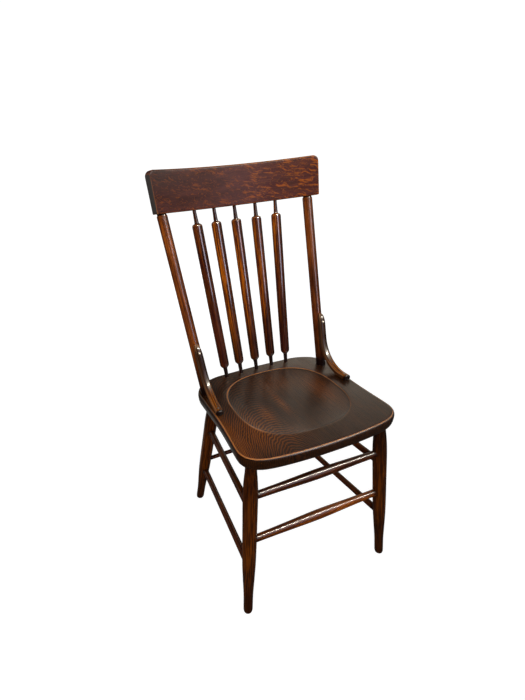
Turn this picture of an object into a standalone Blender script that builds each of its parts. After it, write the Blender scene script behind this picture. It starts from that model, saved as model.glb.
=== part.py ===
"""Student desk chair: an oak side chair with a dished plank seat, turned legs and stretchers,
a bent crest rail on two stiles and five spindles, and a bent brace screwed in front of each stile.

Millimetres below, metres in the scene. +X is right as seen from in front, -Y is the front and Z = 0
is the floor. Y is measured from the line of the front feet, and CENTRE_Y moves the box to the origin.
"""

import bmesh
import bpy
import numpy as np
from mathutils import Matrix, Vector

MM = 0.001
CENTRE_Y = 235.383
GAP = 0.3

# Seat
SEAT_TOP = 460.0
SEAT_THICK = 29.8
SEAT_UNDER = SEAT_TOP - SEAT_THICK
SEAT_HALF_OUTLINE = (
    (0, -15.1), (54.3, -13.9), (103.7, -10.2), (138.2, -5.5), (160, 0.2), (176.8, 9.5), (188.2, 21.7),
    (193.7, 36.4), (194.7, 50.2), (193.3, 71.8), (190.4, 106.2), (187.8, 142.6), (186.4, 175),
    (186.2, 214.5), (186.1, 249), (185.9, 288.5), (181.5, 306.3), (172.6, 322.1), (159.7, 334.9),
    (138.9, 345.8), (114.1, 352.8), (79.4, 354.7), (39.7, 356.3), (0, 356.9),
)
SEAT_POINTS = 76
# How far in from the outline, and how far down, the rounded edge runs
SEAT_EDGE = (
    (6.0, 0.0), (1.2, 0.2), (-1.2, 1.2), (-2.9, 3.2), (-3.8, 6.5), (-4.0, 11.0), (-3.4, 17.0),
    (-2.2, 22.0), (-0.2, 26.3), (1.6, 28.7), (4.5, 29.8),
)
DISH_CENTRE_Y = 179.0
DISH_RADIUS = 138.4
DISH_SQUARENESS = 2.55
DISH_PROFILE = ((0.0, 6.0), (0.45, 5.7), (0.72, 4.8), (0.9, 3.1), (0.965, 1.7), (1.0, 0.0))

# Legs: foot and top of each axis, and diameters by height
FRONT_FOOT = (202.1, 0.0)
FRONT_TOP = (167.2, 34.9)
REAR_FOOT = (170.7, 415.4)
REAR_TOP = (137.9, 308.6)
LEG_PROFILE = (
    (-12, 15.0), (0, 19.2), (2.0, 21.4), (8, 22.6), (45, 23.1), (62, 23.9), (78, 25.3), (95, 27.1),
    (120, 29.3), (150, 31.7), (205, 33.2), (275, 33.7), (330, 34.2), (350, 33.8), (372, 32.3), (390, 29.8),
    (408, 26.6), (430, 24.4), (442, 23.8),
)
LEG_TENON = 20.0
LEG_TENON_LONG = 19.5
LEG_SIDES = 24

# Stretchers: height on the legs, and diameters along the length
FRONT_UPPER_Z = 339.2
FRONT_LOWER_Z = 218.0
SIDE_UPPER_Z = 307.9
SIDE_LOWER_Z = 143.4
REAR_Z = 179.7
FRONT_PROFILE = ((0.0, 18.0), (0.05, 18.2), (0.16, 19.2), (0.29, 21.2), (0.41, 23.3), (0.5, 24.2))
SIDE_PROFILE = ((0.0, 16.6), (0.06, 16.8), (0.3, 16.3), (0.5, 16.2))
REAR_PROFILE = ((0.0, 11.6), (0.06, 11.8), (0.3, 12.4), (0.5, 12.8))
STRETCHER_SIDES = 16

# Crest rail, bent in plan and leaning back
CREST_HALF = 217.4
CREST_SAG = 0.00088
CREST_Y = 459.95
CREST_Z = 862.2
CREST_LEAN = 0.232
CREST_HIGH = 92.3
CREST_THICK = 20.0
CREST_CORNER = 13.0
CREST_FLARE = 0.02

# Stiles
STILE_BASE = (167.4, 286.9)
STILE_TOP_X = 191.3
STILE_TOP_BACK = 5.0
STILE_DIAMETER = 24.9
STILE_SHOULDER = 2.4
STILE_TENON = 18.0
STILE_TENON_LONG = 19.0
STILE_TOP_TENON = 10.0
STILE_TOP_TENON_LONG = 17.0

# Spindles, from the middle outwards: foot x, foot y, top x
SPINDLES = ((0.0, 343.1, 0.0), (45.6, 342.8, 55.4), (88.5, 339.8, 108.7))
SPINDLE_TENON = 15.0
SPINDLE_PROFILE = (
    (-15.0, 9.4), (0, 9.6), (24.5, 10.6), (26.0, 14.0), (28.5, 19.4), (31.5, 22.8), (36, 23.6),
    (200, 24.2), (384, 24.8), (388.5, 23.6), (391.0, 20.0), (392.5, 14.0), (393.5, 10.8), (422, 8.4),
    (437.5, 8.2),
)
SPINDLE_SIDES = 16

# Base colour, roughness and metallic value of each kind of piece
FINISHES = {
    "seat": ((0.070, 0.030, 0.011), 0.35, 0.0),
    "leg": ((0.075, 0.018, 0.003), 0.30, 0.0),
    "stretcher": ((0.070, 0.016, 0.007), 0.25, 0.0),
    "stile": ((0.160, 0.048, 0.014), 0.28, 0.0),
    "crest": ((0.150, 0.050, 0.036), 0.42, 0.0),
    "spindle": ((0.170, 0.050, 0.010), 0.25, 0.0),
    "brace": ((0.130, 0.048, 0.014), 0.30, 0.0),
    "screw": ((0.450, 0.420, 0.380), 0.40, 1.0),
}

# Braces: bent strips from the stile down to the seat
BRACE_WIDE = 18.4
BRACE_THICK = 14.0
BRACE_BEND = 95.0
BRACE_END_Y = 179.0
BRACE_RISE = 64.0
BRACE_END_X = 175.2
BRACE_SIDES = 12
SCREW_SIDES = 12
SCREW_HEAD = 7.6
SCREW_SHANK = 3.8
UPPER_SCREW_UP = 41.0
LOWER_SCREW_BACK = 14.0


def clear_scene():
    for obj in list(bpy.data.objects):
        bpy.data.objects.remove(obj, do_unlink=True)


def new_collection(name, hidden=False):
    found = bpy.data.collections.new(name)
    bpy.context.scene.collection.children.link(found)
    found.hide_render = hidden
    return found


def finish(name):
    """The piece's own material, coloured by the kind of piece its name starts or goes on with."""
    kind = "screw" if "screw" in name else name.split("_")[0]
    colour, roughness, metallic = FINISHES[kind]
    made = bpy.data.materials.new(name)
    made.use_nodes = True
    shader = made.node_tree.nodes["Principled BSDF"]
    shader.inputs["Base Color"].default_value = (*colour, 1.0)
    shader.inputs["Roughness"].default_value = roughness
    shader.inputs["Metallic"].default_value = metallic
    return made


def to_scene(point):
    return Vector((float(point[0]), float(point[1]) - CENTRE_Y, float(point[2]))) * MM


def axis_turn(a, b):
    """The rotation that points a piece's own Z axis from a to b."""
    return Vector(np.subtract(b, a).tolist()).to_track_quat("Z", "Y")


def new_part(name, mesh, parts):
    made = bpy.data.objects.new(name, mesh)
    parts.objects.link(made)
    made.parent = bpy.data.objects["chair_origin"]
    mesh.materials.append(finish(name))
    return made


def new_cutter(name, mesh, cutters):
    made = bpy.data.objects.new(name, mesh)
    cutters.objects.link(made)
    made.display_type = "WIRE"
    made.hide_render = True
    return made


def turn(made, a, b, stations, steps):
    """A Screw about the axis a-b of a profile of (distance, diameter) pairs, drawn from the top down."""
    profile = [(0.0, stations[-1][0])] + [(size / 2, at) for at, size in reversed(stations)]
    profile.append((0.0, stations[0][0]))
    points = [(radius * MM, 0.0, at * MM) for radius, at in profile]
    made.data.from_pydata(points, [(i, i + 1) for i in range(len(points) - 1)], [])
    made.location = to_scene(a)
    made.rotation_euler = axis_turn(a, b).to_euler()
    turning = made.modifiers.new("Turning", "SCREW")
    turning.axis = "Z"
    turning.steps = turning.render_steps = steps
    turning.use_merge_vertices = True
    turning.merge_threshold = 0.00001
    turning.use_smooth_shade = True
    return made


def turned_part(name, a, b, stations, steps, parts):
    return turn(new_part(name, bpy.data.meshes.new(name), parts), a, b, stations, steps)


def turned_cutter(name, a, b, stations, steps, cutters):
    return turn(new_cutter(name, bpy.data.meshes.new(name), cutters), a, b, stations, steps)


def rods(name, axes, cutters):
    """Plain round rods that don't meet, each given by its two ends and its diameter, in one mesh."""
    shape = bmesh.new()
    for a, b, size in axes:
        middle = Matrix.Translation((to_scene(a) + to_scene(b)) / 2)
        long = float(np.linalg.norm(np.subtract(b, a))) * MM
        bmesh.ops.create_cone(
            shape, cap_ends=True, segments=24, radius1=size / 2 * MM, radius2=size / 2 * MM, depth=long,
            matrix=middle @ axis_turn(a, b).to_matrix().to_4x4(),
        )
    mesh = bpy.data.meshes.new(name)
    shape.to_mesh(mesh)
    shape.free()
    return new_cutter(name, mesh, cutters)


def slabs(name, heights, cutters):
    """Wide level boxes, each between two heights, that trim pieces flat."""
    shape = bmesh.new()
    for low, high in heights:
        middle = Matrix.Translation(Vector((0.0, 0.0, (low + high) / 2 * MM)))
        bmesh.ops.create_cube(shape, size=1.0, matrix=middle @ Matrix.Diagonal((0.8, 0.8, (high - low) * MM, 1.0)))
    mesh = bpy.data.meshes.new(name)
    shape.to_mesh(mesh)
    shape.free()
    return new_cutter(name, mesh, cutters)


def combine(body, label, operation, other):
    modifier = body.modifiers.new(label, "BOOLEAN")
    modifier.operation = operation
    modifier.solver = "EXACT"
    modifier.object = other


def loft(name, rings, origin, parts, closed=None):
    """Rings of equal count joined into one shell and placed at its origin; closed gives its own faces."""
    points, faces = closed if closed else tube(rings)
    start = to_scene(origin)
    placed = (np.asarray(points, float) - (0.0, CENTRE_Y, 0.0)) * MM - np.array(start)
    mesh = bpy.data.meshes.new(name)
    mesh.from_pydata(placed.tolist(), [], faces)
    mesh.validate()
    mesh.shade_smooth()
    mesh.set_sharp_from_angle(angle=np.radians(32))
    made = new_part(name, mesh, parts)
    made.location = start
    return made


def tube(rings):
    """Rings of equal count joined into one closed shell with flat caps, running so that faces look out."""
    count = len(rings[0])
    faces = []
    for row in range(len(rings) - 1):
        for i in range(count):
            j = (i + 1) % count
            a, b = row * count, (row + 1) * count
            faces.append((a + i, a + j, b + j, b + i))
    faces.append(tuple(range(count - 1, -1, -1)))
    last = (len(rings) - 1) * count
    faces.append(tuple(range(last, last + count)))
    return np.concatenate(rings), faces


def on_leg(foot, top, side, z):
    share = z / SEAT_UNDER
    x = foot[0] + (top[0] - foot[0]) * share
    y = foot[1] + (top[1] - foot[1]) * share
    return np.array([side * x, y, z])


def leg_axes():
    """Name, foot, top and side of each leg."""
    found = []
    for stem, foot, top in (("leg_front", FRONT_FOOT, FRONT_TOP), ("leg_rear", REAR_FOOT, REAR_TOP)):
        for side, word in ((-1, "left"), (1, "right")):
            found.append((f"{stem}_{word}", foot, top, side))
    return found


def leg_tenon(foot, top, side, grow):
    low = on_leg(foot, top, side, SEAT_UNDER - 7.0)
    high = on_leg(foot, top, side, SEAT_UNDER + LEG_TENON_LONG + grow)
    return low, high, LEG_TENON + 2 * grow


def stretcher_ends():
    """Name, both leg axes' points, and the profile of each stretcher."""
    front = (FRONT_FOOT, FRONT_TOP)
    rear = (REAR_FOOT, REAR_TOP)
    found = []
    for word, z in (("upper", FRONT_UPPER_Z), ("lower", FRONT_LOWER_Z)):
        found.append(("stretcher_front_" + word, (*front, -1, z), (*front, 1, z), FRONT_PROFILE))
    for word, z in (("upper", SIDE_UPPER_Z), ("lower", SIDE_LOWER_Z)):
        for side, hand in ((-1, "left"), (1, "right")):
            name = f"stretcher_side_{word}_{hand}"
            found.append((name, (*front, side, z), (*rear, side, z), SIDE_PROFILE))
    found.append(("stretcher_rear", (*rear, -1, REAR_Z), (*rear, 1, REAR_Z), REAR_PROFILE))
    return found


def stretcher_socket(start, end, profile):
    """The hole in the leg at start: from just past the stretcher's end out beyond the leg."""
    a, b = on_leg(*start), on_leg(*end)
    along = (b - a) / np.linalg.norm(b - a)
    return a + along * (2.0 - GAP), a + along * 26.0, profile[1][1] + 2 * GAP


def make_legs(parts, cutters):
    """Each leg is turned long, trimmed level at the floor and under the seat, then tenoned and bored."""
    sockets = {}
    for _, start, end, profile in stretcher_ends():
        for one, other in ((start, end), (end, start)):
            sockets.setdefault((one[0], one[2]), []).append(stretcher_socket(one, other, profile))
    trim = slabs("leg.trim", ((-60.0, 0.0), (SEAT_UNDER - GAP, SEAT_UNDER + 40.0)), cutters)
    for name, foot, top, side in leg_axes():
        a, b = on_leg(foot, top, side, 0.0), on_leg(foot, top, side, SEAT_UNDER)
        stretch = np.linalg.norm(b - a) / SEAT_UNDER
        stations = [(z * stretch, size) for z, size in LEG_PROFILE]
        leg = turned_part(name, a, b, stations, LEG_SIDES, parts)
        combine(leg, "Trim", "DIFFERENCE", trim)
        combine(leg, "Tenon", "UNION", rods(name + ".tenon", [leg_tenon(foot, top, side, 0.0)], cutters))
        combine(leg, "Sockets", "DIFFERENCE", rods(name + ".sockets", sockets[(foot, side)], cutters))


def make_stretchers(parts):
    for name, start, end, profile in stretcher_ends():
        a, b = on_leg(*start), on_leg(*end)
        long = np.linalg.norm(b - a)
        inset = 2.0
        half = [(inset + share * (long - 2 * inset), size) for share, size in profile]
        stations = half + [(long - at, size) for at, size in reversed(half[:-1])]
        turned_part(name, a, b, stations, STRETCHER_SIDES, parts)


def smooth_outline():
    """The seat's outline, dense: a closed Catmull-Rom curve through the half outline and its mirror."""
    right = np.array(SEAT_HALF_OUTLINE, float)
    left = right[-2:0:-1] * (-1, 1)
    knots = np.concatenate([right, left])
    found = []
    for i in range(len(knots)):
        p0, p1, p2, p3 = (knots[(i + k) % len(knots)] for k in (-1, 0, 1, 2))
        for t in np.arange(12) / 12:
            square = (2 * p0 - 5 * p1 + 4 * p2 - p3) * t * t
            cube = (3 * p1 - 3 * p2 + p3 - p0) * t ** 3
            found.append(0.5 * (2 * p1 + (p2 - p0) * t + square + cube))
    return np.array(found)


def outline_polar(count):
    """Angles and radii of the outline about the dish's centre, closer together where it bends."""
    dense = smooth_outline()
    step = np.roll(dense, -1, axis=0) - dense
    length = np.hypot(*step.T)
    heading = np.unwrap(np.arctan2(step[:, 1], step[:, 0]))
    bend = np.abs(np.diff(heading, append=heading[0] + 2 * np.pi))
    weight = np.cumsum(length + 45 * bend)
    picks = np.searchsorted(weight, np.arange(count) * weight[-1] / count)
    offset = dense[picks] - (0.0, DISH_CENTRE_Y)
    return np.arctan2(offset[:, 1], offset[:, 0]), np.hypot(*offset.T)


def dish_radius(angles):
    power = DISH_SQUARENESS
    total = np.abs(np.cos(angles)) ** power + np.abs(np.sin(angles)) ** power
    return DISH_RADIUS / total ** (1 / power)


def seat_shell():
    """Rings from the middle of the dish out over the edge and back in under the seat."""
    angles, outer = outline_polar(SEAT_POINTS)
    inner = dish_radius(angles)
    heading = np.stack([np.cos(angles), np.sin(angles)], axis=1)

    def ring(radius, z):
        flat = heading * radius[:, None] + (0.0, DISH_CENTRE_Y)
        return np.column_stack([flat, np.full(len(flat), z)])

    rings = [ring(inner * share, SEAT_TOP - depth) for share, depth in DISH_PROFILE[1:]]
    rings.append(ring(inner + (outer - SEAT_EDGE[0][0] - inner) * 0.5, SEAT_TOP))
    rings += [ring(outer - inset, SEAT_TOP - drop) for inset, drop in SEAT_EDGE]
    rings.append(ring(outer * 0.5, SEAT_UNDER))
    points, faces = tube(rings[::-1])
    faces = faces[:-2]
    centre_low, centre_high = len(points), len(points) + 1
    count, last = len(angles), (len(rings) - 1) * len(angles)
    middle = SEAT_TOP - DISH_PROFILE[0][1]
    centres = [[0, DISH_CENTRE_Y, SEAT_UNDER], [0, DISH_CENTRE_Y, middle]]
    points = np.concatenate([points, centres])
    for i in range(count):
        j = (i + 1) % count
        faces.append((centre_low, j, i))
        faces.append((centre_high, last + i, last + j))
    return points, faces


def crest_point(x, through=0.0, up=0.0):
    """A point of the crest rail: x along it, through its thickness towards the back, up its height."""
    depth = -CREST_SAG * x * x
    slope = -2 * CREST_SAG * x
    size = np.hypot(1.0, slope)
    x, depth = x - slope / size * through, depth + through / size
    y = CREST_Y + depth * np.cos(CREST_LEAN) + up * np.sin(CREST_LEAN)
    z = CREST_Z - depth * np.sin(CREST_LEAN) + up * np.cos(CREST_LEAN)
    return np.array([x, y, z])


def crest_section(high):
    """The rail's cross-section as (through, up) pairs, its upper edges rounded more than its lower."""
    half = CREST_THICK / 2
    corners = ((-half, 0, 1.5), (-half, high, 4.5), (half, high, 4.5), (half, 0, 1.5))
    found = []
    for index, (through, up, radius) in enumerate(corners):
        centre = (through - np.sign(through) * radius, up + (radius if up == 0 else -radius))
        start = (270, 180, 90, 0)[index]
        for turn in (0, 45, 90):
            angle = np.radians(start - turn)
            found.append((centre[0] + radius * np.cos(angle), centre[1] + radius * np.sin(angle)))
    return found


def crest_rings():
    ends = np.array([0, 1.2, 4.0, 8.0, CREST_CORNER])
    middle = np.linspace(CREST_HALF - CREST_CORNER, -(CREST_HALF - CREST_CORNER), 19)[1:-1]
    places = np.concatenate([CREST_HALF - ends, middle, (ends - CREST_HALF)[::-1]])
    rings = []
    for x in places:
        near = min(CREST_HALF - abs(x), CREST_CORNER)
        drop = CREST_CORNER - np.sqrt(CREST_CORNER ** 2 - (CREST_CORNER - near) ** 2)
        spread = CREST_FLARE * (abs(x) / CREST_HALF) ** 4
        ring = []
        for through, up in crest_section(CREST_HIGH - drop):
            wide = x * (1 + spread * (up / CREST_HIGH - 0.5))
            ring.append(crest_point(wide, through, up))
        rings.append(np.array(ring))
    return rings


def stile_ends(side):
    base = np.array([side * STILE_BASE[0], STILE_BASE[1], SEAT_TOP])
    return base, crest_point(side * STILE_TOP_X, STILE_TOP_BACK)


def stile_foot_tenon(side, grow):
    base, top = stile_ends(side)
    along = (top - base) / np.linalg.norm(top - base)
    return base - along * (STILE_TENON_LONG + grow), base + along * 12.0, STILE_TENON + 2 * grow


def stile_top_tenon(side, grow):
    """The tenon that runs up inside the rail, parallel to the rail's own faces."""
    low = crest_point(side * STILE_TOP_X, STILE_TOP_BACK - 2.2, -9.0)
    high = crest_point(side * STILE_TOP_X, STILE_TOP_BACK - 2.2, STILE_TOP_TENON_LONG + grow)
    return low, high, STILE_TOP_TENON + 2 * grow


def spindle_axes():
    """Foot and top of each spindle, from the left."""
    found = []
    for foot_x, foot_y, top_x in SPINDLES:
        for side in (-1, 1) if foot_x else (1,):
            found.append((np.array([side * foot_x, foot_y, SEAT_TOP]), crest_point(side * top_x)))
    return sorted(found, key=lambda pair: pair[0][0])


def spindle_stations(foot, top):
    long = np.linalg.norm(top - foot)
    stations = [(at * long / 424.0 if 0 < at < 424 else at, size) for at, size in SPINDLE_PROFILE]
    stations[-1] = (long + SPINDLE_TENON - 1.5, stations[-1][1])
    return stations


def spindle_sockets(foot, top):
    """The blind holes at the foot and at the top of a spindle."""
    long = np.linalg.norm(top - foot)
    along = (top - foot) / long
    low = (foot - along * (SPINDLE_TENON + GAP), foot + along * 12.0, 9.6 + 2 * GAP)
    end = long + SPINDLE_TENON - 1.5 + GAP
    return low, (foot + along * (long - 8), foot + along * end, 8.8 + 2 * GAP)


def brace_path():
    """Middle line of the brace as (y, z), from its foot on the seat up to its tip on the stile."""
    base, top = stile_ends(1)
    lean = np.arctan2(top[1] - base[1], top[2] - base[2])
    low = SEAT_TOP + GAP + BRACE_THICK / 2
    off = STILE_DIAMETER / 2 + 0.45 + BRACE_THICK / 2
    start = np.array([base[1] - off * np.cos(lean), base[2] + off * np.sin(lean)])
    knee = start + np.array([np.tan(lean), 1.0]) * (low - start[1])
    reach = BRACE_BEND * np.tan((np.pi / 2 - lean) / 2)
    centre = np.array([knee[0] - reach, low + BRACE_BEND])
    flat = np.linspace(BRACE_END_Y, centre[0], 3)[:-1]
    points = [(y, low) for y in flat]
    for angle in np.linspace(0, np.pi / 2 - lean, 11):
        points.append((centre[0] + BRACE_BEND * np.sin(angle), centre[1] - BRACE_BEND * np.cos(angle)))
    up = np.array([np.sin(lean), np.cos(lean)])
    for rise in (22.0, 30.0, 42.0, 50.0, 56.0, 60.0, 62.6, BRACE_RISE):
        points.append(tuple(np.array(points[12]) + up * rise))
    return np.array(points), lean


def brace_x(y, z):
    """How far out the brace stands: over the stile's line above, and running out to its foot below."""
    base, top = stile_ends(1)
    slope = (top[0] - base[0]) / (top[2] - base[2])
    above = base[0] + slope * (z - SEAT_TOP)
    share = np.clip((290.0 - y) / (290.0 - BRACE_END_Y), 0, 1)
    return above + (BRACE_END_X - base[0]) * share ** 1.5


def brace_rings(side):
    path, lean = brace_path()
    steps = np.gradient(path, axis=0)
    steps /= np.hypot(*steps.T)[:, None]
    to_end = np.hypot(*(path - path[-1]).T)
    angles = np.arange(BRACE_SIDES) * 2 * np.pi / BRACE_SIDES
    power = 2 / 3.2
    across = np.sign(np.cos(angles)) * np.abs(np.cos(angles)) ** power
    through = np.sign(np.sin(angles)) * np.abs(np.sin(angles)) ** power
    rings = []
    for (y, z), (dy, dz), left in zip(path, steps, to_end):
        slim = np.clip(left / 34.0, 0, 1)
        wide = BRACE_WIDE * (0.34 + 0.66 * np.sqrt(1 - (1 - slim) ** 2))
        thin = np.clip(left / 20.0, 0, 1)
        thick = BRACE_THICK * (0.2 + 0.8 * np.sqrt(1 - (1 - thin) ** 2))
        back = (BRACE_THICK - thick) / 2
        normal = np.array([-dz, dy])
        shift = through * thick / 2 - back
        x = brace_x(y, z) + across * wide / 2
        rings.append(np.column_stack([side * x, y + normal[0] * shift, z + normal[1] * shift]))
    return rings[::-1] if side > 0 else rings


def upper_screw(side):
    """Where the upper screw goes in at the brace's face, and its direction into the stile."""
    path, lean = brace_path()
    up = np.array([np.sin(lean), np.cos(lean)])
    y, z = path[12] + up * UPPER_SCREW_UP + np.array([-up[1], up[0]]) * BRACE_THICK / 2
    return np.array([side * brace_x(y, z), y, z]), np.array([0.0, up[1], -up[0]])


def lower_screw(side):
    y = BRACE_END_Y + LOWER_SCREW_BACK
    z = SEAT_TOP + GAP + BRACE_THICK
    return np.array([side * brace_x(y, z), y, z]), np.array([0.0, 0.0, -1.0])


def make_screw(name, at, into, long, parts):
    stations = [
        (0.2, SCREW_HEAD - 2.2), (0.5, SCREW_HEAD), (1.0, SCREW_HEAD), (3.0, SCREW_SHANK),
        (long - 2, SCREW_SHANK), (long, 1.4),
    ]
    turned_part(name, at, at + into * long, stations, SCREW_SIDES, parts)


def make_screw_hole(name, at, into, long, cutters):
    wide, narrow = SCREW_HEAD + 2.6 * GAP, SCREW_SHANK + 2.6 * GAP
    stations = [(-3.0, wide), (1.15, wide), (3.3, narrow), (long + GAP, narrow)]
    return turned_cutter(name, at, at + into * long, stations, SCREW_SIDES, cutters)


def make_braces(parts, cutters):
    """The braces and their screws. Gives the screw holes that go on into the stiles and the seat."""
    in_stile, in_seat = {}, []
    for side, word in ((-1, "left"), (1, "right")):
        brace = loft(f"brace_{word}", brace_rings(side), (side * BRACE_END_X, BRACE_END_Y, SEAT_TOP), parts)
        for place, screw, long in (("upper", upper_screw(side), 26.0), ("lower", lower_screw(side), 32.0)):
            name = f"brace_screw_{place}_{word}"
            make_screw(name, *screw, long, parts)
            hole = make_screw_hole(name + ".hole", *screw, long, cutters)
            combine(brace, place.capitalize() + " screw hole", "DIFFERENCE", hole)
            if place == "upper":
                in_stile[side] = hole
            else:
                in_seat.append(hole)
    return in_stile, in_seat


def make_back(parts, cutters, in_stile):
    """Crest rail, stiles and spindles. Gives the sockets to be bored in the seat."""
    in_seat, in_crest = [], []
    trim = slabs("stile.trim", ((SEAT_TOP - 50.0, SEAT_TOP + GAP),), cutters)
    for side, word in ((-1, "left"), (1, "right")):
        base, top = stile_ends(side)
        long = np.linalg.norm(top - base)
        size, shoulder = STILE_DIAMETER, long - STILE_SHOULDER
        stations = [
            (-14.0, size), (long * 0.35, size - 0.3), (long * 0.7, size - 0.2), (shoulder - 1.2, size),
            (shoulder, size - 2.4),
        ]
        stile = turned_part(f"stile_{word}", base, top, stations, LEG_SIDES, parts)
        combine(stile, "Trim", "DIFFERENCE", trim)
        tenons = [stile_foot_tenon(side, 0.0), stile_top_tenon(side, 0.0)]
        combine(stile, "Tenons", "UNION", rods(stile.name + ".tenons", tenons, cutters))
        combine(stile, "Screw hole", "DIFFERENCE", in_stile[side])
        in_seat.append(stile_foot_tenon(side, GAP))
        in_crest.append(stile_top_tenon(side, GAP))
    for number, (foot, top) in enumerate(spindle_axes(), start=1):
        turned_part(f"spindle_{number}", foot, top, spindle_stations(foot, top), SPINDLE_SIDES, parts)
        low, high = spindle_sockets(foot, top)
        in_seat.append(low)
        in_crest.append(high)
    crest = loft("crest_rail", crest_rings(), (0.0, CREST_Y, CREST_Z), parts)
    combine(crest, "Sockets", "DIFFERENCE", rods("crest_rail.sockets", in_crest, cutters))
    return in_seat


def main():
    clear_scene()
    parts = new_collection("student_desk_chair")
    cutters = new_collection("cutters", hidden=True)
    parts.objects.link(bpy.data.objects.new("chair_origin", None))
    in_stile, screw_holes = make_braces(parts, cutters)
    in_seat = make_back(parts, cutters, in_stile)
    make_stretchers(parts)
    make_legs(parts, cutters)
    in_seat += [leg_tenon(foot, top, side, GAP) for _, foot, top, side in leg_axes()]
    seat = loft("seat", None, (0.0, DISH_CENTRE_Y, SEAT_TOP), parts, closed=seat_shell())
    combine(seat, "Sockets", "DIFFERENCE", rods("seat.sockets", in_seat, cutters))
    for hole in screw_holes:
        combine(seat, "Screw hole", "DIFFERENCE", hole)


main()
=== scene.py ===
import math

import bpy
import numpy as np
from mathutils import Matrix


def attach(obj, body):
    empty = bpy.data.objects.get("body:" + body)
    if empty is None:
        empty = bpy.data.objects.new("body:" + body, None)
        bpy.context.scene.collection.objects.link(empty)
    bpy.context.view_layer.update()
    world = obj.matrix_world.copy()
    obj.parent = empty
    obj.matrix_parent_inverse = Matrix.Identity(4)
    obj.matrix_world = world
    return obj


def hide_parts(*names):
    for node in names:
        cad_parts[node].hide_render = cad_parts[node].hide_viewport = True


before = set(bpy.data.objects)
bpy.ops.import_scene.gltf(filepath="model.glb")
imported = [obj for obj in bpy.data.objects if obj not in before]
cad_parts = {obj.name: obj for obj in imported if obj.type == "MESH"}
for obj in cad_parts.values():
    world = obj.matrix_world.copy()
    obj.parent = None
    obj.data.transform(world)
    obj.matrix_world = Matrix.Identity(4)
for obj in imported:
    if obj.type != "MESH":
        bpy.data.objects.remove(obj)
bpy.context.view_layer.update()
frontLine = 235.383  # mm from the origin forward to the line of the front feet


# lengths below are millimetres in the chair's own frame, with y counted back from the front feet
def makePiece(name, grid, caps, fields, material, replaces):
    # grid: rows x columns x 3, closed round its columns; caps: one middle point for each open end
    rows, columns = grid.shape[:2]
    points = np.concatenate([grid.reshape(-1, 3), np.array(caps, float)])
    index = np.arange(rows * columns).reshape(rows, columns)
    ahead = np.roll(index, -1, axis=1)
    quads = np.stack([index[:-1], ahead[:-1], ahead[1:], index[1:]], axis=-1).reshape(-1, 4)
    first, last = rows * columns, rows * columns + 1
    low = np.stack([np.full(columns, first), ahead[0], index[0]], axis=-1)
    high = np.stack([np.full(columns, last), index[-1], ahead[-1]], axis=-1)
    triangles = np.concatenate([quads[:, :3], quads[:, [0, 2, 3]], low, high])
    corners = points[triangles]
    volume = np.einsum("ij,ij->i", corners[:, 0], np.cross(corners[:, 1], corners[:, 2])).sum()
    faces = quads.tolist() + low.tolist() + high.tolist()
    if volume < 0:
        faces = [face[::-1] for face in faces]
    mesh = bpy.data.meshes.new(name)
    placed = (points - (0.0, frontLine, 0.0)) * 0.001
    mesh.from_pydata(placed.tolist(), [], faces)
    mesh.polygons.foreach_set("use_smooth", np.ones(len(faces), bool))
    for label, values in fields.items():
        kind = "FLOAT_VECTOR" if values.ndim == 3 else "FLOAT"
        flat = values.reshape(rows * columns, -1)
        ends = np.stack([values[0].mean(axis=0), values[-1].mean(axis=0)]).reshape(2, -1)
        layer = mesh.attributes.new(label, kind, "POINT")
        layer.data.foreach_set("vector" if kind == "FLOAT_VECTOR" else "value",
                               np.concatenate([flat, ends]).astype(np.float32).ravel())
    mesh.materials.append(material)
    made = bpy.data.objects.new(name, mesh)
    bpy.context.scene.collection.objects.link(made)
    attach(made, "root")
    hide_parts(*replaces)
    return made


def smoothProfile(knots, perSpan):
    # a monotone cubic through (distance, size) pairs, perSpan samples between each two
    x, y = np.array(knots, float).T
    step, rise = np.diff(x), np.diff(y) / np.diff(x)
    slope = np.concatenate([[rise[0]], np.zeros(len(x) - 2), [rise[-1]]])
    same = rise[:-1] * rise[1:] > 0
    both = np.where(same, rise[:-1] + rise[1:], 1.0)
    slope[1:-1] = np.where(same, 2 * rise[:-1] * rise[1:] / both, 0.0)
    t = np.linspace(0, 1, perSpan, endpoint=False)[None, :]
    a, b, h = y[:-1, None], y[1:, None], step[:, None]
    p, q = slope[:-1, None] * h, slope[1:, None] * h
    value = a * (1 + 2 * t) * (1 - t) ** 2 + p * t * (1 - t) ** 2
    value = value + b * t * t * (3 - 2 * t) + q * t * t * (t - 1)
    place = x[:-1, None] + h * t
    return np.append(place.ravel(), x[-1]), np.append(value.ravel(), y[-1])


def unit(v):
    v = np.asarray(v, float)
    return v / np.linalg.norm(v)


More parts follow.
